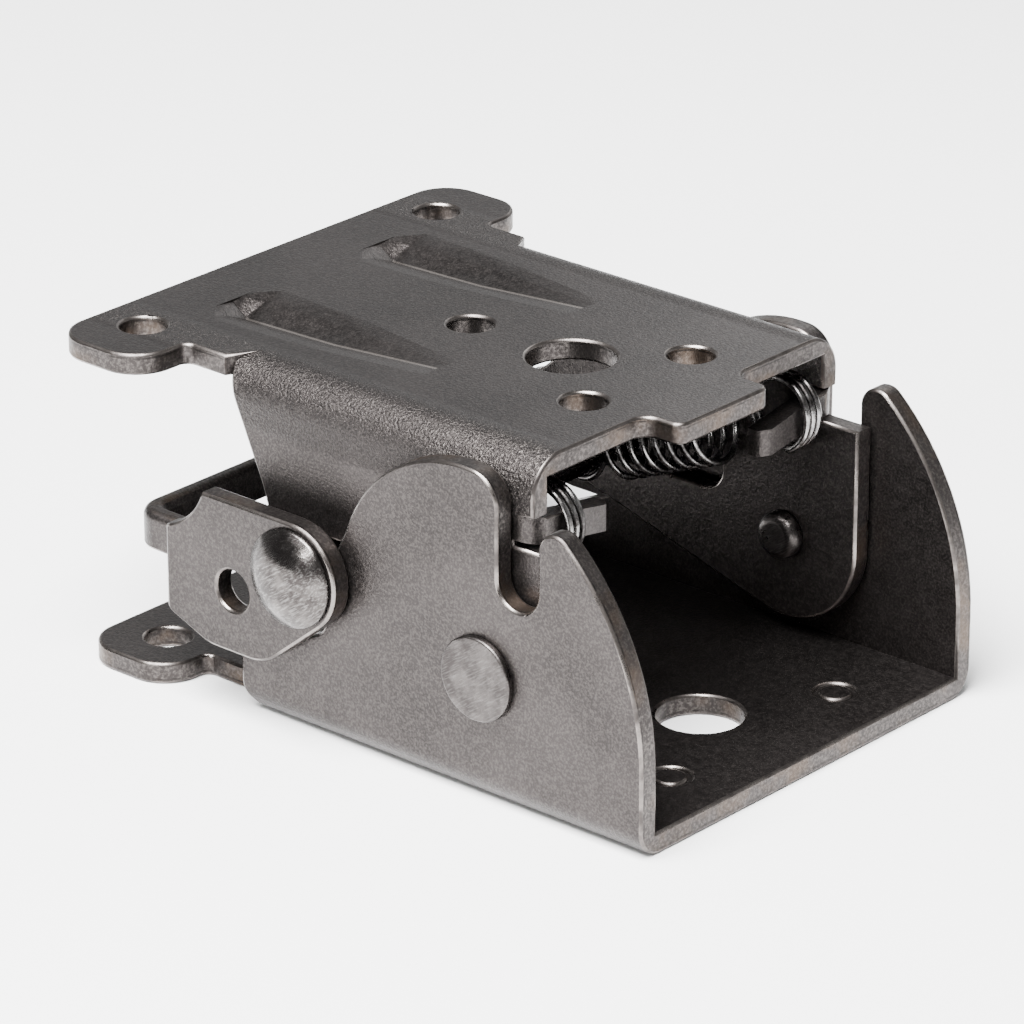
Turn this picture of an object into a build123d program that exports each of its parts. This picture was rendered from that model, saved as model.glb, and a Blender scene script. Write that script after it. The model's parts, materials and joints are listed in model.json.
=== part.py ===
from build123d import *
import os
from math import asin, atan2, cos, sin, sqrt

# Folding table leg bracket with a sprung lock, shown folded flat. Sizes are in millimetres.
# +X runs to the open front end, +Y to the far side and +Z up. The origin lies on the
# underside of the lower bracket, below the pivot and on the mid-plane.

# Folded sheet
sheet = 2.6                 # thickness of both brackets and of the handle
side_gap = 0.3              # between a flange of the upper bracket and the wall beside it
face_gap = 0.1              # between a flange's inner face and the rivet's spread end
plate_gap = 0.4             # between a wall and the handle's plate beside it
bend_inside = 0.8           # inside radius of the lower bracket's folds

# Lower bracket
wall_outer_y = 29.3         # outer face of a wall
front_x = 23.3              # front edge of floor and walls
wall_rear_x = -36.3         # rear end of the walls
low_wall_z = 13.5           # top of the low rear part of a wall, at the cam
low_wall_rear_z = 7.5       # and at its rear end
wall_heel_r = 4.0           # rounding of the wall's rear corner beside the floor
front_edge_z = 10.0         # where the straight front edge turns into its arc
front_arc_r = 32.3
peak_round = 2.3
hump_step = 4.8             # how much tighter the hump is than the concentric part of the cam
hump_x = -2.5
hump_z = 21.1
hump_round = 4.0
cam_r = 23.1                # part of the cam that is concentric with the pivot
lower_ear_rear_x = -60.0
lower_ear_front_x = -46.0
lower_ear_y = 31.7
lower_neck_y = 25.0
lower_ear_hole_x = -52.7
lower_ear_hole_y = 24.6
ear_corner_r = 4.9
relief_r = 1.2
floor_hole_r = 5.1
floor_hole_x = 7.3
mark_x = 15.2               # pair of half-pressed round marks in the floor
mark_y = 14.7
mark_r = 2.45
mark_ring = 0.45
mark_depth = 0.35

# Upper bracket
top_z = 41.0                # upper face of the top plate
top_bend_r = 4.8            # outside radius of the folds beside the top plate
upper_ear_rear_x = -61.6
upper_ear_front_x = -47.6
upper_ear_y = 33.4
upper_neck_y = 25.6
flange_rear_x = -41.6       # rear end of a flange under the top plate
flange_knee_x = -34.4
flange_knee_z = 25.0
flange_heel_x = -33.6
flange_heel_z = 14.5
heel_round = 3.5
flange_front_x = 10.4       # front edge of a flange beside the pivot
top_front_x = 5.2
tab_front_x = 10.4
tab_half_y = 7.8
tab_root_r = 2.0
tab_corner_r = 1.4
upper_ear_hole_x = -55.1
upper_ear_hole_y = 25.0
small_hole_r = 2.75
back_hole_x = -27.3         # single small hole on the mid-plane
big_hole_r = 5.2
big_hole_x = -12.1
pair_hole_x = -2.3
pair_hole_y = 9.25
rib_y = 12.5                # pair of V grooves pressed down into the top plate
rib_rear_x = -53.0
rib_deep_x = -50.6          # deepest place of a groove
rib_middle_x = -37.0
rib_front_x = -20.8
rib_half = 6.0              # half the width of a groove
rib_depth = 1.9
rib_shoulder = 0.55         # share of the half width that is the steeper part
rib_shoulder_drop = 0.30    # share of the depth that the flatter part takes

# Spring lugs, bent inwards from the upper bracket's flanges and sloping down to their tips
notch_drop = 6.7            # top of the notch that each lug was cut from, below the top face
notch_height = 3.9
notch_x = 2.3
lug_gap = 0.5               # from the notch's rear end to the lug's rear face
lug_root_drop = 8.2         # middle of the lug at the flange, below the top face
lug_tip_drop = 10.4
lug_tip_y = 13.3
lug_height = 3.2
lug_bend_r = 2.4
lug_chamfer = 1.1

# Pivot rivets
pivot_z = 15.0
pivot_r = 2.5
pivot_running_gap = 0.05
pivot_head_r = 5.0
pivot_head_h = 0.9
pivot_end_r = 2.9
pivot_end_h = 1.8
head_round = 0.3

# Lock pin and handle
pin_offset = 5.5            # the lock pin's line above the pivot
pin_r = 2.85
pin_slot_gap = 0.1
pin_cam_gap = 0.05
lift = 3.9                  # the pin's travel outwards while it climbs the cam
lock_seat_z = 27.35         # centre of the pin in the lock notch of the lower bracket
dome_r = 5.9
dome_h = 2.7
dome_rim = 0.5
far_head_r = 4.6
far_head_h = 1.4
plate_round_r = 6.5         # front end of the handle's side plates, about the pin
plate_rear_x = -45.0
plate_low_z = 8.5
plate_step_x = -39.2
plate_step_r = 9.0
plate_low_front_x = -29.9
plate_low_rear_x = -38.6
plate_rear_high_z = 21.5
plate_rear_low_z = 11.0
pull_hole_r = 2.5
pull_hole_x = -34.6
pull_hole_z = 16.2
neck_lap = 0.2              # how far the cross bar's ends are let into the side plates
neck_front_x = -41.0
bar_round = 1.1
bar_rear_x = -53.0
bar_low_z = 16.2
bar_high_z = 20.8
handle_bend_r = 1.0         # inside radius of the cross bar's folds

# Springs
wire_r = 0.4
coil_r = 4.3
coil_y = 18.8
coil_pitch = 2.0
coil_turns = 8
coil_front = 8.6            # from the ring's centre to the first turn, along the spring
ring_turns = 2.5
ring_pitch = 1.0
ring_shift = 0.6
hook_shift = 1.6
hook_angle = 240
hook_gap = 0.15

# Values that follow
wall_inner_y = wall_outer_y - sheet
flange_outer_y = wall_inner_y - side_gap
flange_inner_y = flange_outer_y - sheet
slot_r = pin_r + pin_slot_gap
pin_z = pivot_z + pin_offset
pin_x = -sqrt((cam_r + pin_r + pin_cam_gap) ** 2 - pin_offset ** 2)
pin_out_x = pin_x - lift
pin_in_x = -(lock_seat_z - pivot_z)
plate_inner_y = wall_outer_y + plate_gap
plate_outer_y = plate_inner_y + sheet
lug_rear_x = notch_x + lug_gap
lug_front_x = lug_rear_x + sheet
lug_root_z = top_z - lug_root_drop
lug_tip_z = top_z - lug_tip_drop
lug_slope = (lug_root_z - lug_tip_z) / (flange_outer_y - lug_tip_y)
notch_high_z = top_z - notch_drop
notch_low_z = notch_high_z - notch_height
hump_r = cam_r - hump_step

os.makedirs("parts", exist_ok=True)


def save(piece, label):
    """Label a finished piece and write it to its own file."""
    piece.label = label
    export_step(piece, f"parts/{label}.step")


# Lower bracket: one folded channel with two ears at its rear end
front_arc_x = front_x - front_arc_r
slot_left = (pin_offset - slot_r, hump_z + sqrt(hump_r ** 2 - (pin_offset - slot_r - hump_x) ** 2))
slot_right = (
    pin_offset + slot_r,
    front_edge_z + sqrt(front_arc_r ** 2 - (pin_offset + slot_r - front_arc_x) ** 2),
)
# The hump's circle meets the concentric part of the cam here
centre_distance = sqrt(hump_x ** 2 + (hump_z - pivot_z) ** 2)
centre_angle = atan2(hump_z - pivot_z, hump_x)
along = (centre_distance ** 2 + cam_r ** 2 - hump_r ** 2) / (2 * centre_distance)
across = sqrt(cam_r ** 2 - along ** 2)
cam_meet = (
    along * cos(centre_angle) - across * sin(centre_angle),
    pivot_z + along * sin(centre_angle) + across * cos(centre_angle),
)
cam_low = (-sqrt(cam_r ** 2 - (low_wall_z - pivot_z) ** 2), low_wall_z)


def arc_middle(centre, start, end):
    """Point halfway along the short arc from start to end about a centre."""
    middle = Vector(*start) + Vector(*end) - 2 * Vector(*centre)
    radius = (Vector(*start) - Vector(*centre)).length
    return tuple(Vector(*centre) + middle.normalized() * radius)[:2]


with BuildPart() as lower_bracket:
    with BuildSketch(Plane.YZ.offset(wall_rear_x)):
        Rectangle(2 * wall_outer_y, top_z, align=(Align.CENTER, Align.MIN))
        with Locations((0, sheet)):
            Rectangle(2 * wall_inner_y, top_z, align=(Align.CENTER, Align.MIN), mode=Mode.SUBTRACT)
        corners = vertices().group_by(Axis.Y)
        fillet(corners[0], bend_inside + sheet)
        fillet(corners[1], bend_inside)
    extrude(amount=front_x - wall_rear_x)
    with BuildSketch(Plane.XZ):
        with BuildLine():
            Polyline(
                cam_low,
                (wall_rear_x, low_wall_rear_z),
                (wall_rear_x, 0),
                (front_x, 0),
                (front_x, front_edge_z),
            )
            ThreePointArc(
                (front_x, front_edge_z),
                arc_middle((front_arc_x, front_edge_z), (front_x, front_edge_z), slot_right),
                slot_right,
            )
            Line(slot_right, (slot_right[0], lock_seat_z))
            ThreePointArc(
                (slot_right[0], lock_seat_z),
                (pin_offset, lock_seat_z - slot_r),
                (slot_left[0], lock_seat_z),
            )
            Line((slot_left[0], lock_seat_z), slot_left)
            ThreePointArc(slot_left, arc_middle((hump_x, hump_z), slot_left, cam_meet), cam_meet)
            ThreePointArc(cam_meet, arc_middle((0, pivot_z), cam_meet, cam_low), cam_low)
        make_face()
        fillet(vertices().sort_by_distance(slot_right)[0], peak_round)
        fillet(vertices().sort_by_distance(slot_left)[0], hump_round)
        fillet(vertices().sort_by_distance(cam_low)[0], 2 * relief_r)
        fillet(vertices().sort_by_distance((wall_rear_x, low_wall_rear_z))[0], relief_r)
        fillet(vertices().sort_by_distance((wall_rear_x, 0))[0], wall_heel_r)
    extrude(amount=wall_outer_y, both=True, mode=Mode.INTERSECT)
    with BuildSketch(Plane.XY):
        with BuildLine():
            Polyline(
                (wall_rear_x + 2 * wall_heel_r, 0),
                (wall_rear_x + 2 * wall_heel_r, lower_neck_y),
                (lower_ear_front_x, lower_neck_y),
                (lower_ear_front_x, lower_ear_y),
                (lower_ear_rear_x, lower_ear_y),
                (lower_ear_rear_x, 0),
            )
            mirror(about=Plane.XZ)
        make_face()
        for side in (-1, 1):
            fillet(vertices().sort_by_distance((lower_ear_rear_x, side * lower_ear_y))[0], ear_corner_r)
            fillet(vertices().sort_by_distance((lower_ear_front_x, side * lower_ear_y))[0], ear_corner_r)
            fillet(vertices().sort_by_distance((lower_ear_front_x, side * lower_neck_y))[0], relief_r)
    extrude(amount=sheet)
    with Locations((floor_hole_x, 0, sheet)):
        Hole(floor_hole_r, depth=sheet)
    with Locations(
        (lower_ear_hole_x, -lower_ear_hole_y, sheet),
        (lower_ear_hole_x, lower_ear_hole_y, sheet),
    ):
        Hole(small_hole_r, depth=sheet)
    with BuildSketch(Plane.XY.offset(sheet)):
        with Locations((mark_x, -mark_y), (mark_x, mark_y)):
            Circle(mark_r)
            Circle(mark_r - mark_ring, mode=Mode.SUBTRACT)
    extrude(amount=-mark_depth, mode=Mode.SUBTRACT)
    with BuildSketch(Plane.XZ.offset(-wall_outer_y)):
        with Locations((0, pivot_z)):
            Circle(pivot_r)
    extrude(amount=2 * wall_outer_y, mode=Mode.SUBTRACT)

save(lower_bracket.part, "lower_bracket")

# Upper bracket: top plate with ears and front tab, two flanges and two spring lugs
lower_slope = atan2(
    flange_heel_z - (pivot_z - flange_front_x), -flange_heel_x
)
flange_tangent = (-flange_front_x * sin(lower_slope), pivot_z - flange_front_x * cos(lower_slope))
heel_foot = (
    flange_heel_x,
    flange_tangent[1] + (flange_tangent[0] - flange_heel_x) * sin(lower_slope) / cos(lower_slope),
)
with BuildPart() as lugs:
    for side in (-1, 1):
        with BuildSketch(Plane.XY.offset(notch_low_z - lug_height)):
            with BuildLine():
                Polyline(
                    (notch_x, side * flange_outer_y),
                    (lug_front_x, side * flange_outer_y),
                    (lug_front_x, side * lug_tip_y),
                    (lug_rear_x, side * lug_tip_y),
                    (lug_rear_x, side * flange_inner_y),
                    (notch_x, side * flange_inner_y),
                    close=True,
                )
            make_face()
            fillet(vertices().sort_by_distance((lug_front_x, side * flange_outer_y))[0], lug_bend_r)
            chamfer(vertices().sort_by_distance((lug_front_x, side * lug_tip_y))[0], lug_chamfer)
        extrude(amount=notch_height + 2 * lug_height)
    with BuildSketch(Plane.YZ.offset(notch_x)):
        for side in (-1, 1):
            Polygon(
                (side * flange_outer_y, lug_root_z + lug_height / 2),
                (side * lug_tip_y, lug_tip_z + lug_height / 2),
                (side * lug_tip_y, lug_tip_z - lug_height / 2),
                (side * flange_outer_y, lug_root_z - lug_height / 2),
                align=None,
            )
    extrude(amount=lug_front_x - notch_x, mode=Mode.INTERSECT)

with BuildPart() as upper_bracket:
    with BuildSketch(Plane.YZ.offset(flange_rear_x)):
        Rectangle(2 * flange_outer_y, top_z, align=(Align.CENTER, Align.MIN))
        Rectangle(
            2 * flange_inner_y,
            top_z - sheet,
            align=(Align.CENTER, Align.MIN),
            mode=Mode.SUBTRACT,
        )
        corners = vertices().group_by(Axis.Y)
        fillet(corners[-1], top_bend_r)
        fillet(corners[-2], top_bend_r - sheet)
    extrude(amount=flange_front_x - flange_rear_x)
    with BuildSketch(Plane.XZ):
        with BuildLine():
            Polyline(
                heel_foot,
                (flange_knee_x, flange_knee_z),
                (flange_rear_x, top_z),
                (top_front_x, top_z),
                (top_front_x, notch_high_z),
                (notch_x, notch_high_z),
                (notch_x, notch_low_z),
                (flange_front_x, notch_low_z),
                (flange_front_x, pivot_z),
            )
            ThreePointArc(
                (flange_front_x, pivot_z),
                arc_middle((0, pivot_z), (flange_front_x, pivot_z), flange_tangent),
                flange_tangent,
            )
            Line(flange_tangent, heel_foot)
        make_face()
        fillet(vertices().sort_by_distance(heel_foot)[0], heel_round)
        fillet(vertices().sort_by_distance((flange_knee_x, flange_knee_z))[0], 5 * heel_round)
    extrude(amount=flange_outer_y, both=True, mode=Mode.INTERSECT)
    with BuildSketch(Plane.XY.offset(top_z - sheet)):
        with BuildLine():
            Polyline(
                (flange_rear_x + sheet, 0),
                (flange_rear_x + sheet, upper_neck_y - top_bend_r),
                (flange_rear_x, upper_neck_y),
                (upper_ear_front_x, upper_neck_y),
                (upper_ear_front_x, upper_ear_y),
                (upper_ear_rear_x, upper_ear_y),
                (upper_ear_rear_x, 0),
            )
            mirror(about=Plane.XZ)
        make_face()
        for side in (-1, 1):
            fillet(vertices().sort_by_distance((upper_ear_rear_x, side * upper_ear_y))[0], ear_corner_r)
            fillet(vertices().sort_by_distance((upper_ear_front_x, side * upper_ear_y))[0], ear_corner_r)
            fillet(vertices().sort_by_distance((upper_ear_front_x, side * upper_neck_y))[0], relief_r)
        with BuildLine():
            Polyline(
                (top_front_x - sheet, 0),
                (top_front_x - sheet, tab_half_y + tab_root_r + sheet),
                (top_front_x, tab_half_y + tab_root_r + sheet),
                (top_front_x, tab_half_y),
                (tab_front_x, tab_half_y),
                (tab_front_x, 0),
            )
            mirror(about=Plane.XZ)
        make_face()
        for side in (-1, 1):
            fillet(vertices().sort_by_distance((tab_front_x, side * tab_half_y))[0], tab_corner_r)
            fillet(vertices().sort_by_distance((top_front_x, side * tab_half_y))[0], tab_root_r)
    extrude(amount=sheet)

    # Stiffening grooves: the sheet is pressed down, so the same form stands out below
    for drop, mode in ((sheet, Mode.ADD), (0, Mode.SUBTRACT)):
        for side in (-1, 1):
            for x, share in (
                (rib_rear_x, 0.15),
                (rib_deep_x, 1.0),
                (rib_middle_x, 0.8),
                (rib_front_x, 0.1),
            ):
                half = rib_half * (0.4 + 0.6 * share)
                depth = rib_depth * share
                with BuildSketch(Plane.YZ.offset(x)):
                    with Locations((side * rib_y, top_z - drop)):
                        Polygon(
                            (-half, 0),
                            (-half * rib_shoulder, -depth * rib_shoulder_drop),
                            (0, -depth),
                            (half * rib_shoulder, -depth * rib_shoulder_drop),
                            (half, 0),
                            (0, sheet / 4),
                            align=None,
                        )
            loft(ruled=True, mode=mode)

    # Spring lugs
    add(lugs.part)

    # Screw holes in the top plate
    with Locations(
        (upper_ear_hole_x, -upper_ear_hole_y, top_z),
        (upper_ear_hole_x, upper_ear_hole_y, top_z),
        (back_hole_x, 0, top_z),
        (pair_hole_x, -pair_hole_y, top_z),
        (pair_hole_x, pair_hole_y, top_z),
    ):
        Hole(small_hole_r, depth=sheet)
    with Locations((big_hole_x, 0, top_z)):
        Hole(big_hole_r, depth=sheet)

    # Pivot holes and the slots that guide the lock pin
    with BuildSketch(Plane.XZ.offset(-flange_outer_y)):
        with Locations((0, pivot_z)):
            Circle(pivot_r + pivot_running_gap)
        with Locations(((pin_in_x + pin_out_x) / 2, pin_z)):
            SlotCenterToCenter(pin_in_x - pin_out_x, 2 * slot_r)
    extrude(amount=2 * flange_outer_y, mode=Mode.SUBTRACT)

save(upper_bracket.part, "upper_bracket")

# Pivot rivets, one on each side, fixed in the lower bracket's walls
with BuildPart() as pivot_rivet_near:
    with BuildSketch(Plane.YZ):
        with BuildLine():
            head_y = -wall_outer_y - pivot_head_h
            end_y = -flange_inner_y + face_gap
            Polyline(
                (head_y, pivot_z),
                (head_y, pivot_z + pivot_head_r),
                (-wall_outer_y, pivot_z + pivot_head_r),
                (-wall_outer_y, pivot_z + pivot_r),
                (end_y, pivot_z + pivot_r),
                (end_y, pivot_z + pivot_end_r),
                (end_y + pivot_end_h, pivot_z + pivot_end_r),
                (end_y + pivot_end_h, pivot_z),
                close=True,
            )
        make_face()
        fillet(vertices().sort_by_distance((head_y, pivot_z + pivot_head_r))[0], head_round)
        fillet(
            vertices().sort_by_distance((end_y + pivot_end_h, pivot_z + pivot_end_r))[0],
            4 * head_round,
        )
    revolve(axis=Axis((0, 0, pivot_z), (0, 1, 0)))

save(pivot_rivet_near.part, "pivot_rivet_near")

with BuildPart() as pivot_rivet_far:
    add(pivot_rivet_near.part)
    mirror(about=Plane.XZ, mode=Mode.REPLACE)

save(pivot_rivet_far.part, "pivot_rivet_far")

# Lock pin: a long rivet with a domed head on the near side
with BuildPart() as lock_pin:
    with BuildSketch(Plane.YZ.offset(pin_x)):
        with BuildLine():
            Line((-plate_outer_y - dome_h, pin_z), (plate_outer_y + far_head_h, pin_z))
            Polyline(
                (plate_outer_y + far_head_h, pin_z),
                (plate_outer_y + far_head_h, pin_z + far_head_r),
                (plate_outer_y, pin_z + far_head_r),
                (plate_outer_y, pin_z + pin_r),
                (-plate_outer_y, pin_z + pin_r),
                (-plate_outer_y, pin_z + dome_r),
                (-plate_outer_y - dome_rim, pin_z + dome_r),
            )
            dome_sphere = (dome_r ** 2 + (dome_h - dome_rim) ** 2) / (2 * (dome_h - dome_rim))
            half = asin(dome_r / dome_sphere) / 2
            ThreePointArc(
                (-plate_outer_y - dome_rim, pin_z + dome_r),
                (
                    -plate_outer_y - dome_h + dome_sphere * (1 - cos(half)),
                    pin_z + dome_sphere * sin(half),
                ),
                (-plate_outer_y - dome_h, pin_z),
            )
        make_face()
    revolve(axis=Axis((pin_x, 0, pin_z), (0, 1, 0)))

save(lock_pin.part, "lock_pin")

# Release handle: side plates outside the walls, set in behind them and joined by a cross bar
neck_mid_y = plate_inner_y + neck_lap - sheet / 2
bar_mid_x = bar_rear_x + sheet / 2
plate_top_z = pin_z + plate_round_r
with BuildPart() as handle:
    with BuildSketch(Plane.XY.offset(bar_low_z)):
        with BuildLine():
            FilletPolyline(
                (neck_front_x, -neck_mid_y),
                (bar_mid_x, -neck_mid_y),
                (bar_mid_x, neck_mid_y),
                (neck_front_x, neck_mid_y),
                radius=handle_bend_r + sheet / 2,
            )
            offset(amount=sheet / 2, side=Side.BOTH)
        make_face()
    extrude(amount=bar_high_z - bar_low_z)
    fillet(edges().group_by(Axis.Z)[-1].sort_by(Axis.X)[:-2], bar_round)
    for side in (-1, 1):
        with BuildSketch(Plane((0, side * plate_inner_y, 0), x_dir=(1, 0, 0), z_dir=(0, side, 0))):
            up = -side
            with BuildLine():
                CenterArc((pin_x, up * pin_z), plate_round_r, 0, 360)
                Polyline(
                    (plate_step_x, up * plate_top_z),
                    (plate_rear_x, up * plate_rear_high_z),
                    (plate_rear_x, up * plate_rear_low_z),
                    (plate_low_rear_x, up * plate_low_z),
                    (plate_low_front_x, up * plate_low_z),
                )
            make_hull()
            fillet(
                [
                    vertices().sort_by_distance((plate_low_front_x, up * plate_low_z))[0],
                    vertices().sort_by_distance((plate_low_rear_x, up * plate_low_z))[0],
                ],
                plate_round_r,
            )
            fillet(vertices().sort_by_distance((plate_rear_x, up * plate_rear_low_z))[0], relief_r)
            with BuildLine():
                Line((plate_step_x, up * plate_top_z), (plate_rear_x, up * plate_rear_high_z))
                RadiusArc(
                    (plate_step_x, up * plate_top_z),
                    (plate_rear_x, up * plate_rear_high_z),
                    up * plate_step_r,
                )
            make_face(mode=Mode.SUBTRACT)
            with Locations((pull_hole_x, up * pull_hole_z)):
                Circle(pull_hole_r, mode=Mode.SUBTRACT)
            with Locations((pin_x, up * pin_z)):
                Circle(pin_r, mode=Mode.SUBTRACT)
        extrude(amount=sheet)

save(handle.part, "handle")

# Springs: wound wire with a double ring round the lug and a hook round the lock pin
ring_span = ring_turns * ring_pitch
ring_z = lug_root_z - lug_slope * (flange_outer_y - coil_y - ring_shift - ring_span / 2)
ring_half = (lug_height + lug_slope * ring_span) / 2
ring_x = lug_front_x + hook_gap - sqrt((coil_r - wire_r) ** 2 - ring_half ** 2)
spring_along = Vector(ring_x - pin_x, 0, ring_z - pin_z).normalized()
spring_up = Vector(-spring_along.Z, 0, spring_along.X)
body_front = Vector(ring_x, -coil_y, ring_z) - spring_along * coil_front
hook_r = pin_r + hook_gap + wire_r
ring = Plane(
    (ring_x, -coil_y - ring_shift, ring_z), x_dir=-spring_up, z_dir=(0, -1, 0)
) * Helix(ring_pitch, ring_pitch * ring_turns, coil_r)
turns = Plane(body_front, x_dir=spring_up, z_dir=-spring_along) * Helix(
    coil_pitch, coil_pitch * coil_turns, coil_r
)
hook = Plane(
    (pin_x, hook_shift - coil_y, pin_z), x_dir=spring_up, z_dir=(0, -1, 0)
) * CenterArc((0, 0), hook_r, 0, hook_angle)
with BuildPart() as spring_near:
    with BuildLine() as spring_line:
        add(ring)
        add(turns)
        add(hook)
        Spline(ring @ 1, turns @ 0, tangents=(ring % 1, turns % 0))
        Spline(turns @ 1, hook @ 0, tangents=(turns % 1, hook % 0))
    with BuildSketch(Plane(ring @ 0, z_dir=ring % 0)):
        Circle(wire_r)
    sweep(path=spring_line.wire())

save(spring_near.part, "spring_near")

with BuildPart() as spring_far:
    add(spring_near.part)
    mirror(about=Plane.XZ, mode=Mode.REPLACE)

save(spring_far.part, "spring_far")
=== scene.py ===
"""Looks and studio for a folding table leg bracket of dark pressed steel."""

import json

import bmesh
import bpy
from math import radians
from mathutils import Euler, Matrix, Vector
from mathutils.bvhtree import BVHTree


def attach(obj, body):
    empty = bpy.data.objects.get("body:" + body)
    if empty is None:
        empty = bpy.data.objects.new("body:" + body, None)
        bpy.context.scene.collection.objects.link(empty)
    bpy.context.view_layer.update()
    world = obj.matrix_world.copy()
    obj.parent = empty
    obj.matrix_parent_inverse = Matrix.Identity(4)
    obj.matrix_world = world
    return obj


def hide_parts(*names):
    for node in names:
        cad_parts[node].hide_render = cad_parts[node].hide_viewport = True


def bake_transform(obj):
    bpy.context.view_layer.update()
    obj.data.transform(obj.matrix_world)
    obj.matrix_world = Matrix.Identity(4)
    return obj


bl_info = {
    "name": "Folding leg bracket",
    "version": (1, 0, 0),
    "blender": (4, 5, 0),
    "location": "3D View > Sidebar > Bracket",
    "description": "Dresses the pressed steel bracket, its springs, rivets and handle",
    "category": "Object",
}

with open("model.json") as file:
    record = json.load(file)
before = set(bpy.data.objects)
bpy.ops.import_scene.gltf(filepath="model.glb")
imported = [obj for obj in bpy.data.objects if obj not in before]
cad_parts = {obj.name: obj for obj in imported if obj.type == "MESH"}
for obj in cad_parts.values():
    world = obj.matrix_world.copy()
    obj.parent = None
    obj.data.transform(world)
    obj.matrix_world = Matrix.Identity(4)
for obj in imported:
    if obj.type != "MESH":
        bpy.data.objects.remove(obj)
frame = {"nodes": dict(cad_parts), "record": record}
BODIES = {
    node: body for body, nodes in frame["record"]["behaviour"]["bodies"].items() for node in nodes
}
MM = 0.001

# Noise scales, in grains to the metre
MOTTLE = 70.0
TARNISH = 130.0
EDGE_MOTTLE = 220.0
EDGE_WEAR = 260.0
DULL_PATCHES = 330.0
BREAK_WAVER = 900.0
PITTING = 1100.0
ROLLED_GRAIN = 2200.0
SHEAR_STREAK = 2400.0
ORANGE_PEEL = 3000.0
FINE_GRAIN = 3300.0
HAIRLINES = 5200.0

BREAK_COLOUR = (0.020, 0.018, 0.017, 1.0)
HAIRLINE_COLOUR = (0.30, 0.29, 0.28, 1.0)

# The upper bracket's folds: the distance from the middle, the height, and the part of the length
# behind the pivot where the bright grain is faded as painted shade
FOLD_REACH = (21.5 * MM, 26.5 * MM)
FOLD_HEIGHT = (34.5 * MM, 41.2 * MM)
FOLD_SHADE_RUN = (14.0 * MM, 34.0 * MM)
FOLD_SOFT = 1.6 * MM
FOLD_SHADE_SOFT = 8.0 * MM

# A painted highlight: a thin bright line along the bottom of each pressed groove
GROOVE_REACH = 12.5 * MM
GROOVE_RUN = (21.5 * MM, 50.6 * MM)
GROOVE_HEIGHT = (38.9 * MM, 42.0 * MM)
GROOVE_HIGHLIGHT_WIDTH = 0.16 * MM
GROOVE_HIGHLIGHT_SOFT = 0.12 * MM
GROOVE_RUN_SOFT = 0.4 * MM
GROOVE_HEIGHT_SOFT = 0.1 * MM

# Where the shear of each sheet's cut edges broke off
BREAK_WIDTH = 0.10 * MM
LOWER_BREAKS = (("Y", 28.75 * MM), ("Z", 0.55 * MM))
UPPER_BREAKS = (("Y", 25.85 * MM), ("Z", 40.4 * MM))
HANDLE_BREAKS = (("Y", 31.7 * MM),)

# How faces and edges are sorted
FLAT = 0.99996
SHEET_SLACK = 0.35
MERGE = 0.002 * MM
RAY_START = 0.01 * MM
DISSOLVE_ANGLE = radians(0.5)
CREASE_ANGLE = radians(32)
PRESSED_CREASE_ANGLE = radians(60)
RIM_ANGLE = radians(50)

# Light: each softbox has a place, a side and a power; the room's brightness is a product of two
# levels, each an axis, the range along it and the values at its ends
CENTRE = Vector((-0.015, 0.0, 0.02))
SOFTBOXES = (
    ("top softbox", (0.02, -0.32, 0.72), 0.55, 46.0),
    ("side softbox", (0.03, -0.80, 0.44), 0.15, 2.6),
    ("back softbox", (-0.08, 0.20, 0.17), 0.14, 0.13),
)
ROOM_LEVELS = (("Y", -0.6, 0.6, 0.25, 1.25), ("Z", 0.35, 0.80, 0.60, 0.06))


# Settings

class SheetSettings(bpy.types.PropertyGroup):
    """Finish of the folded sheet pieces."""

    colour: bpy.props.FloatVectorProperty(
        name="Sheet colour",
        description="Dark grey-brown of the treated steel",
        subtype="COLOR",
        size=4,
        min=0.0,
        max=1.0,
        default=(0.041, 0.036, 0.035, 1.0),
    )
    deep_colour: bpy.props.FloatVectorProperty(
        name="Deep colour",
        description="Darker tone in the mottling of the treated steel",
        subtype="COLOR",
        size=4,
        min=0.0,
        max=1.0,
        default=(0.024, 0.021, 0.0205, 1.0),
    )
    # The worn colour also paints the highlight along the bottom of each groove
    worn_and_highlight_colour: bpy.props.FloatVectorProperty(
        name="Worn colour",
        description="Bare steel that shows along rubbed edges and in fine flecks",
        subtype="COLOR",
        size=4,
        min=0.0,
        max=1.0,
        default=(0.24, 0.215, 0.20, 1.0),
    )
    tarnish_colour: bpy.props.FloatVectorProperty(
        name="Tarnish colour",
        description="Warm tint on parts of the sheared edges",
        subtype="COLOR",
        size=4,
        min=0.0,
        max=1.0,
        default=(0.115, 0.078, 0.052, 1.0),
    )
    roughness: bpy.props.FloatProperty(
        name="Roughness",
        description="Roughness of the treated faces",
        min=0.0,
        max=1.0,
        default=0.35,
    )
    edge_round: bpy.props.FloatProperty(
        name="Edge rounding",
        description="Radius of the rolled-over edges of the blanked sheet",
        subtype="DISTANCE",
        min=0.0,
        default=0.32 * MM,
    )
    sheet: bpy.props.FloatProperty(
        name="Sheet thickness",
        description="Thickness by which a broad face is told from a cut edge",
        subtype="DISTANCE",
        min=0.0,
        default=2.6 * MM,
    )


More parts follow.
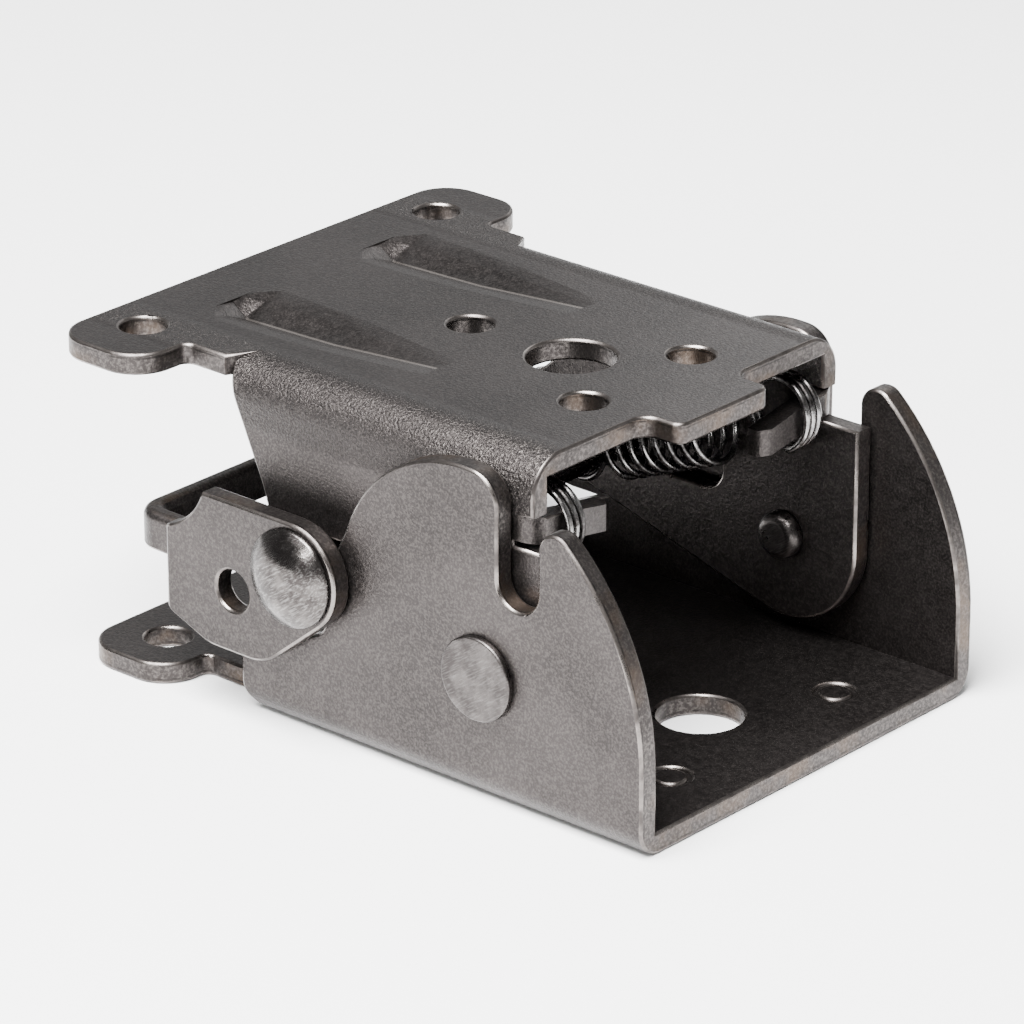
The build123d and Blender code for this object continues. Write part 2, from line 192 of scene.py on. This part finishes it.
class FastenerSettings(bpy.types.PropertyGroup):
    """Finish of the pivot rivets, lock pin and springs."""

    rivet_colour: bpy.props.FloatVectorProperty(
        name="Rivet colour",
        description="Colour of the flat pivot rivets",
        subtype="COLOR",
        size=4,
        min=0.0,
        max=1.0,
        default=(0.085, 0.077, 0.074, 1.0),
    )
    dome_colour: bpy.props.FloatVectorProperty(
        name="Dome colour",
        description="Colour of the tumbled lock pin",
        subtype="COLOR",
        size=4,
        min=0.0,
        max=1.0,
        default=(0.115, 0.105, 0.10, 1.0),
    )
    wire_colour: bpy.props.FloatVectorProperty(
        name="Wire colour",
        description="Colour of the spring wire",
        subtype="COLOR",
        size=4,
        min=0.0,
        max=1.0,
        default=(0.34, 0.33, 0.325, 1.0),
    )
    hook_end: bpy.props.FloatVectorProperty(
        name="Hook end",
        description="Where a spring's hook round the lock pin turns into its coil",
        subtype="TRANSLATION",
        size=3,
        default=(-21.4 * MM, 0.0, 22.1 * MM),
    )
    ring_end: bpy.props.FloatVectorProperty(
        name="Ring end",
        description="Where a spring's coil turns into the ring round the lug",
        subtype="TRANSLATION",
        size=3,
        default=(-2.6 * MM, 0.0, 29.7 * MM),
    )
    head_round: bpy.props.FloatProperty(
        name="Head rounding",
        description="Radius of the rounded rims of rivet and pin heads",
        subtype="DISTANCE",
        min=0.0,
        default=0.18 * MM,
    )


class StageSettings(bpy.types.PropertyGroup):
    """Floor and camera."""

    floor_colour: bpy.props.FloatVectorProperty(
        name="Floor colour",
        description="Colour of the plain floor",
        subtype="COLOR",
        size=4,
        min=0.0,
        max=1.0,
        default=(0.93, 0.93, 0.93, 1.0),
    )
    camera_place: bpy.props.FloatVectorProperty(
        name="Camera place",
        description="Where the camera stands",
        subtype="TRANSLATION",
        size=3,
        default=(0.38302, -0.45895, 0.28082),
    )
    camera_turn: bpy.props.FloatVectorProperty(
        name="Camera turn",
        description="How the camera is turned",
        subtype="EULER",
        size=3,
        default=(radians(66.85), 0.0, radians(41.36)),
    )
    lens: bpy.props.FloatProperty(
        name="Lens", description="Focal length in millimetres", min=1.0, default=203.4
    )


# Materials

class Surface:
    """A node material under way, with its patterns on Object coordinates."""

    def __init__(self, name):
        self.material = bpy.data.materials.new(name)
        self.material.use_nodes = True
        self.nodes = self.material.node_tree.nodes
        self.nodes.clear()
        output = self.nodes.new("ShaderNodeOutputMaterial")
        self.shader = self.nodes.new("ShaderNodeBsdfPrincipled")
        self.put(self.shader.outputs["BSDF"], output.inputs["Surface"])

    def put(self, value, socket):
        """Joins another node's output to a socket, or sets the socket to a plain value."""
        if isinstance(value, bpy.types.NodeSocket):
            self.material.node_tree.links.new(value, socket)
        else:
            socket.default_value = value

    def place(self, stretch=(1.0, 1.0, 1.0), turn=(0.0, 0.0, 0.0)):
        """Object coordinates, along which a pattern is turned and stretched."""
        source = self.nodes.new("ShaderNodeTexCoord")
        mapping = self.nodes.new("ShaderNodeMapping")
        mapping.vector_type = "TEXTURE"
        self.put(stretch, mapping.inputs["Scale"])
        self.put(turn, mapping.inputs["Rotation"])
        self.put(source.outputs["Object"], mapping.inputs["Vector"])
        return mapping.outputs["Vector"]

    def noise(self, scale, detail, place, roughness=0.5):
        """A noise pattern."""
        node = self.nodes.new("ShaderNodeTexNoise")
        self.put(scale, node.inputs["Scale"])
        self.put(detail, node.inputs["Detail"])
        self.put(roughness, node.inputs["Roughness"])
        self.put(place, node.inputs["Vector"])
        return node.outputs["Fac"]

    def graded(self, value, low, high, to_low=0.0, to_high=1.0):
        """Spreads the part of a value between low and high over a new range."""
        node = self.nodes.new("ShaderNodeMapRange")
        node.interpolation_type = "SMOOTHSTEP"
        self.put(low, node.inputs["From Min"])
        self.put(high, node.inputs["From Max"])
        self.put(to_low, node.inputs["To Min"])
        self.put(to_high, node.inputs["To Max"])
        self.put(value, node.inputs["Value"])
        return node.outputs["Result"]

    def mixed(self, share, first, second):
        """The first colour, with a share of the second."""
        node = self.nodes.new("ShaderNodeMix")
        node.data_type = "RGBA"
        self.put(share, node.inputs["Factor"])
        self.put(first, node.inputs[6])
        self.put(second, node.inputs[7])
        return node.outputs[2]

    def combined(self, operation, first, second):
        """Two values joined by a sum, a maximum or the like."""
        node = self.nodes.new("ShaderNodeMath")
        node.operation = operation
        self.put(first, node.inputs[0])
        self.put(second, node.inputs[1])
        return node.outputs["Value"]

    def product(self, first, *others):
        """The product of two or more values."""
        for other in others:
            first = self.combined("MULTIPLY", first, other)
        return first

    def band(self, place, axis, low, high, soft):
        """One where the distance from the middle along an axis is in a range, else softly zero."""
        split = self.nodes.new("ShaderNodeSeparateXYZ")
        self.put(place, split.inputs["Vector"])
        reach = self.combined("ABSOLUTE", split.outputs[axis], 0.0)
        rise = self.graded(reach, low - soft, low)
        fall = self.graded(reach, high, high + soft, 1.0, 0.0)
        return self.product(rise, fall)

    def bumped(self, height, distance, strength):
        """Fine relief from a height pattern."""
        node = self.nodes.new("ShaderNodeBump")
        self.put(strength, node.inputs["Strength"])
        self.put(distance, node.inputs["Distance"])
        self.put(height, node.inputs["Height"])
        self.put(node.outputs["Normal"], self.shader.inputs["Normal"])

    def finished(self, colour, metallic, roughness):
        """The material, once the shader has its colour, metal share and roughness."""
        self.put(colour, self.shader.inputs["Base Color"])
        self.put(metallic, self.shader.inputs["Metallic"])
        self.put(roughness, self.shader.inputs["Roughness"])
        return self.material


def treated_sheet(name, settings, drawn=False):
    """Dark treated steel with soft mottling and a fine, flecked grain.

    Drawn sheet also has folds with a darker ground and the coarse bright grain of metal bent over
    a tool, faded halfway along as painted shade, and a painted highlight at the bottom of each
    groove.
    """
    surface = Surface(name)
    place = surface.place()
    cloud = surface.graded(surface.noise(MOTTLE, 3.0, place), 0.32, 0.68)
    grain = surface.noise(FINE_GRAIN, 2.0, place, 0.65)
    pits = surface.noise(PITTING, 3.0, place, 0.6)
    ground = surface.mixed(cloud, settings.deep_colour, settings.colour)
    ground = surface.mixed(surface.graded(pits, 0.30, 0.70, 0.0, 0.5), ground, settings.colour)
    pale_share = surface.product(surface.graded(grain, 0.40, 0.68), 0.14)
    relief = surface.combined("ADD", grain, surface.product(pits, 0.4))
    rough = surface.graded(pits, 0.3, 0.7, settings.roughness - 0.05, settings.roughness + 0.05)
    if drawn:
        fold = surface.product(
            surface.band(place, "Y", *FOLD_REACH, FOLD_SOFT),
            surface.band(place, "Z", *FOLD_HEIGHT, FOLD_SOFT),
        )
        peel = surface.noise(ORANGE_PEEL, 3.0, place, 0.7)
        # Painted shade: the fold's bright grain is faded along this stretch of its length
        fold_shade = surface.band(place, "X", *FOLD_SHADE_RUN, FOLD_SHADE_SOFT)
        ground = surface.mixed(surface.product(fold, 0.8), ground, settings.deep_colour)
        bright = surface.product(
            fold, surface.graded(peel, 0.50, 0.72), surface.graded(fold_shade, 0.0, 1.0, 1.0, 0.3), 0.55
        )
        pale_share = surface.combined("MAXIMUM", pale_share, bright)
        relief = surface.combined("ADD", relief, surface.product(fold, peel, 3.0))
        # Painted highlight along the bottom of each groove, mixed in with the worn colour
        line = surface.product(
            surface.band(
                place,
                "Y",
                GROOVE_REACH - GROOVE_HIGHLIGHT_WIDTH,
                GROOVE_REACH + GROOVE_HIGHLIGHT_WIDTH,
                GROOVE_HIGHLIGHT_SOFT,
            ),
            surface.band(place, "X", *GROOVE_RUN, GROOVE_RUN_SOFT),
            surface.band(place, "Z", *GROOVE_HEIGHT, GROOVE_HEIGHT_SOFT),
        )
        pale_share = surface.combined("MAXIMUM", pale_share, line)
        rough = surface.combined("SUBTRACT", rough, surface.product(line, 0.1))
    surface.bumped(relief, 0.06 * MM, 0.9)
    return surface.finished(surface.mixed(pale_share, ground, settings.worn_and_highlight_colour), 0.92, rough)


def cut_edge(name, settings, breaks):
    """Sheared edge of the sheet, finely streaked, with a dark line where the shear broke off.

    Each break is an axis and the distance from the middle along it at which that line runs.
    """
    surface = Surface(name)
    place = surface.place()
    streak = surface.noise(SHEAR_STREAK, 3.0, place, 0.7)
    cloud = surface.graded(surface.noise(EDGE_MOTTLE, 4.0, place, 0.6), 0.30, 0.72)
    colour = surface.mixed(cloud, settings.deep_colour, settings.colour)
    pale_share = surface.graded(streak, 0.40, 0.74, 0.04, 0.34)
    colour = surface.mixed(pale_share, colour, settings.worn_and_highlight_colour)
    tarnish = surface.graded(surface.noise(TARNISH, 3.0, place, 0.6), 0.46, 0.70, 0.0, 0.45)
    colour = surface.mixed(tarnish, colour, settings.tarnish_colour)
    waver = surface.graded(surface.noise(BREAK_WAVER, 2.0, place), 0.4, 0.62, 0.15, 0.9)
    for axis, reach in breaks:
        line = surface.band(place, axis, reach, reach + BREAK_WIDTH, BREAK_WIDTH)
        colour = surface.mixed(surface.product(line, waver), colour, BREAK_COLOUR)
    surface.bumped(streak, 0.05 * MM, 0.5)
    return surface.finished(colour, 0.95, surface.graded(streak, 0.3, 0.7, 0.46, 0.32))


def burnished(settings):
    """Rolled-over edge, rubbed bright in places."""
    surface = Surface("burnished steel edge")
    place = surface.place()
    wear = surface.graded(surface.noise(EDGE_WEAR, 4.0, place, 0.6), 0.35, 0.66, 0.12, 0.85)
    surface.bumped(surface.noise(ROLLED_GRAIN, 2.0, place, 0.6), 0.03 * MM, 0.4)
    return surface.finished(
        surface.mixed(wear, settings.colour, settings.worn_and_highlight_colour),
        1.0,
        surface.graded(wear, 0.0, 1.0, 0.40, 0.24),
    )


def tumbled(name, colour, dull_colour, smoothest, roughest, scratched):
    """Tumbled steel with slanting hairline scratches and dull patches."""
    surface = Surface(name)
    slanted = surface.place((1.0, 1.0, 9.0), (0.0, radians(55.0), 0.0))
    patches = surface.noise(DULL_PATCHES, 4.0, surface.place(), 0.62)
    patches = surface.graded(patches, 0.36, 0.66)
    hair = surface.noise(HAIRLINES, 2.0, slanted, 0.6)
    tone = surface.mixed(patches, dull_colour, colour)
    scratches = surface.graded(hair, 0.45, 0.7, 0.0, scratched)
    surface.bumped(hair, 0.03 * MM, 0.45)
    return surface.finished(
        surface.mixed(scratches, tone, HAIRLINE_COLOUR),
        1.0,
        surface.graded(patches, 0.0, 1.0, roughest, smoothest),
    )


# Pieces

def mark_cut_faces(bm, thickness):
    """Gives the second material to the flat regions that are mostly not one sheet thick.

    A region with no such neighbour is a step pressed into a broad face, and keeps the first.
    """
    tree = BVHTree.FromBMesh(bm)
    seen = set()
    cut_regions = []
    for first in bm.faces:
        if first in seen:
            continue
        seen.add(first)
        region = [first]
        area = cut_area = 0.0
        for face in region:
            start = face.calc_center_median() - face.normal * RAY_START
            distance = tree.ray_cast(start, -face.normal)[3]
            area += face.calc_area()
            if distance is None or abs(distance - thickness) > SHEET_SLACK * thickness:
                cut_area += face.calc_area()
            for edge in face.edges:
                for other in edge.link_faces:
                    if other not in seen and other.normal.dot(face.normal) > FLAT:
                        seen.add(other)
                        region.append(other)
        if cut_area > area / 2:
            cut_regions.append(set(region))
            for face in region:
                face.material_index = 1
    for region in cut_regions:
        around = {face for inner in region for edge in inner.edges for face in edge.link_faces}
        if not any(face.material_index for face in around - region):
            for face in region:
                face.material_index = 0


def sort_edges(bm, sheet):
    """Marks the edges to shade smooth and the edges that the bevel rounds.

    On a sheet only the rims between a broad and a cut face are rounded.
    """
    weight = bm.edges.layers.float.new("bevel_weight_edge")
    for edge in bm.edges:
        near, far = edge.link_faces
        angle = edge.calc_face_angle()
        pressed = sheet and near.material_index == far.material_index == 0
        edge.smooth = angle < (PRESSED_CREASE_ANGLE if pressed else CREASE_ANGLE)
        if sheet:
            rounded = near.material_index != far.material_index and angle > RIM_ANGLE
        else:
            rounded = not edge.smooth
        edge[weight] = float(rounded and edge.is_convex)


def dressed(node, name, round_size, materials, thickness=None):
    """A copy of a node, merged, with its flat faces joined and its sharp edges rounded."""
    mesh = bpy.data.meshes.new(name)
    bm = bmesh.new()
    bm.from_mesh(frame["nodes"][node].data)
    bmesh.ops.remove_doubles(bm, verts=bm.verts, dist=MERGE)
    bmesh.ops.recalc_face_normals(bm, faces=bm.faces)
    for face in bm.faces:
        face.smooth = True
        face.material_index = 0
    if thickness:
        mark_cut_faces(bm, thickness)
    bmesh.ops.dissolve_limit(
        bm,
        angle_limit=DISSOLVE_ANGLE,
        use_dissolve_boundaries=False,
        verts=bm.verts,
        edges=bm.edges,
        delimit={"MATERIAL"},
    )
    sort_edges(bm, bool(thickness))
    bm.to_mesh(mesh)
    bm.free()
    piece = bpy.data.objects.new(name, mesh)
    bpy.context.scene.collection.objects.link(piece)
    for material in materials:
        mesh.materials.append(material)
    if round_size > 0:
        bevel = piece.modifiers.new("edge rounding", "BEVEL")
        bevel.width = round_size
        bevel.segments = 2
        bevel.limit_method = "WEIGHT"
        bevel.use_clamp_overlap = False
        bevel.material = len(materials) - 1
        normals = piece.modifiers.new("even shading", "WEIGHTED_NORMAL")
        normals.keep_sharp = True
    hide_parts(node)
    return piece


class BRACKET_OT_sheets(bpy.types.Operator):
    """Dress the two folded brackets and the handle"""

    bl_idname = "bracket.sheets"
    bl_label = "Sheet pieces"

    def execute(self, context):
        settings = context.scene.bracket_sheet
        rolled = burnished(settings)
        plain = treated_sheet("treated sheet steel", settings)
        drawn = treated_sheet("drawn sheet steel", settings, drawn=True)
        for node, name, finish, breaks in (
            ("lower_bracket", "lower_sheet", plain, LOWER_BREAKS),
            ("upper_bracket", "upper_sheet", drawn, UPPER_BREAKS),
            ("handle", "handle_sheet", plain, HANDLE_BREAKS),
        ):
            edge = cut_edge(f"sheared edge of {name}", settings, breaks)
            materials = (finish, edge, rolled)
            piece = dressed(node, name, settings.edge_round, materials, settings.sheet)
            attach(piece, BODIES[node])
        return {"FINISHED"}


class BRACKET_OT_fasteners(bpy.types.Operator):
    """Dress the pivot rivets and the lock pin"""

    bl_idname = "bracket.fasteners"
    bl_label = "Rivets and lock pin"

    def execute(self, context):
        settings = context.scene.bracket_fasteners
        dull = context.scene.bracket_sheet.colour
        rivet = tumbled("rivet steel", settings.rivet_colour, dull, 0.26, 0.40, 0.16)
        dome = tumbled("lock pin steel", settings.dome_colour, dull, 0.16, 0.28, 0.40)
        for node, name in (("pivot_rivet_near", "near_rivet"), ("pivot_rivet_far", "far_rivet")):
            piece = dressed(node, name, settings.head_round, (rivet,))
            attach(piece, BODIES[node])
        piece = dressed("lock_pin", "domed_pin", settings.head_round, (dome,))
        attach(piece, BODIES["lock_pin"])
        return {"FINISHED"}


class BRACKET_OT_springs(bpy.types.Operator):
    """Dress the two wound springs"""

    bl_idname = "bracket.springs"
    bl_label = "Springs"

    def execute(self, context):
        settings = context.scene.bracket_fasteners
        dull = context.scene.bracket_sheet.deep_colour
        wire = tumbled("spring wire", settings.wire_colour, dull, 0.18, 0.34, 0.25)
        for node, name in (("spring_near", "near_spring"), ("spring_far", "far_spring")):
            piece = dressed(node, name, 0.0, (wire,))
            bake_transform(piece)
        return {"FINISHED"}


class BRACKET_OT_stage(bpy.types.Operator):
    """Set up the floor, the light and the camera"""

    bl_idname = "bracket.stage"
    bl_label = "Stage"

    def execute(self, context):
        settings = context.scene.bracket_stage
        mesh = bpy.data.meshes.new("floor")
        bm = bmesh.new()
        bmesh.ops.create_grid(bm, x_segments=1, y_segments=1, size=6.0)
        bm.to_mesh(mesh)
        bm.free()
        floor = bpy.data.objects.new("floor", mesh)
        context.scene.collection.objects.link(floor)
        surface = Surface("plain floor")
        surface.shader.inputs["Specular IOR Level"].default_value = 0.1
        mesh.materials.append(surface.finished(settings.floor_colour, 0.0, 0.9))

        world = bpy.data.worlds.new("soft room")
        world.use_nodes = True
        nodes = world.node_tree.nodes
        links = world.node_tree.links
        facing = nodes.new("ShaderNodeTexCoord")
        split = nodes.new("ShaderNodeSeparateXYZ")
        links.new(facing.outputs["Generated"], split.inputs["Vector"])
        strength = nodes.new("ShaderNodeMath")
        strength.operation = "MULTIPLY"
        for index, (axis, low, high, at_low, at_high) in enumerate(ROOM_LEVELS):
            level = nodes.new("ShaderNodeMapRange")
            level.inputs["From Min"].default_value = low
            level.inputs["From Max"].default_value = high
            level.inputs["To Min"].default_value = at_low
            level.inputs["To Max"].default_value = at_high
            links.new(split.outputs[axis], level.inputs["Value"])
            links.new(level.outputs["Result"], strength.inputs[index])
        links.new(strength.outputs["Value"], nodes["Background"].inputs["Strength"])
        nodes["Background"].inputs["Color"].default_value = (1.0, 1.0, 1.0, 1.0)
        context.scene.world = world

        for name, place, size, power in SOFTBOXES:
            lamp = bpy.data.lights.new(name, "AREA")
            lamp.shape = "SQUARE"
            lamp.size = size
            lamp.energy = power
            holder = bpy.data.objects.new(name, lamp)
            holder.location = place
            holder.rotation_euler = (Vector(place) - CENTRE).to_track_quat("Z", "Y").to_euler()
            context.scene.collection.objects.link(holder)

        camera = bpy.data.cameras.new("camera")
        camera.lens = settings.lens
        camera.sensor_width = 36.0
        camera.clip_start = 0.01
        holder = bpy.data.objects.new("camera", camera)
        holder.location = settings.camera_place
        holder.rotation_euler = Euler(settings.camera_turn)
        context.scene.collection.objects.link(holder)
        context.scene.camera = holder
        return {"FINISHED"}


class BRACKET_PT_panel(bpy.types.Panel):
    """Lists the bracket's pieces and settings"""

    bl_idname = "BRACKET_PT_panel"
    bl_label = "Folding leg bracket"
    bl_space_type = "VIEW_3D"
    bl_region_type = "UI"
    bl_category = "Bracket"

    def draw(self, context):
        layout = self.layout
        for operator in OPERATORS:
            layout.operator(operator.bl_idname)
        for settings in (
            context.scene.bracket_sheet,
            context.scene.bracket_fasteners,
            context.scene.bracket_stage,
        ):
            box = layout.box()
            for name in settings.__annotations__:
                box.prop(settings, name)


OPERATORS = (BRACKET_OT_sheets, BRACKET_OT_fasteners, BRACKET_OT_springs, BRACKET_OT_stage)
CLASSES = (SheetSettings, FastenerSettings, StageSettings, *OPERATORS, BRACKET_PT_panel)


def register():
    for cls in CLASSES:
        bpy.utils.register_class(cls)
    bpy.types.Scene.bracket_sheet = bpy.props.PointerProperty(type=SheetSettings)
    bpy.types.Scene.bracket_fasteners = bpy.props.PointerProperty(type=FastenerSettings)
    bpy.types.Scene.bracket_stage = bpy.props.PointerProperty(type=StageSettings)


def unregister():
    del bpy.types.Scene.bracket_stage
    del bpy.types.Scene.bracket_fasteners
    del bpy.types.Scene.bracket_sheet
    for cls in reversed(CLASSES):
        bpy.utils.unregister_class(cls)


def main():
    register()
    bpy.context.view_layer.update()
    bpy.ops.bracket.sheets()
    bpy.ops.bracket.fasteners()
    bpy.ops.bracket.springs()
    bpy.ops.bracket.stage()


if __name__ == "__main__":
    main()
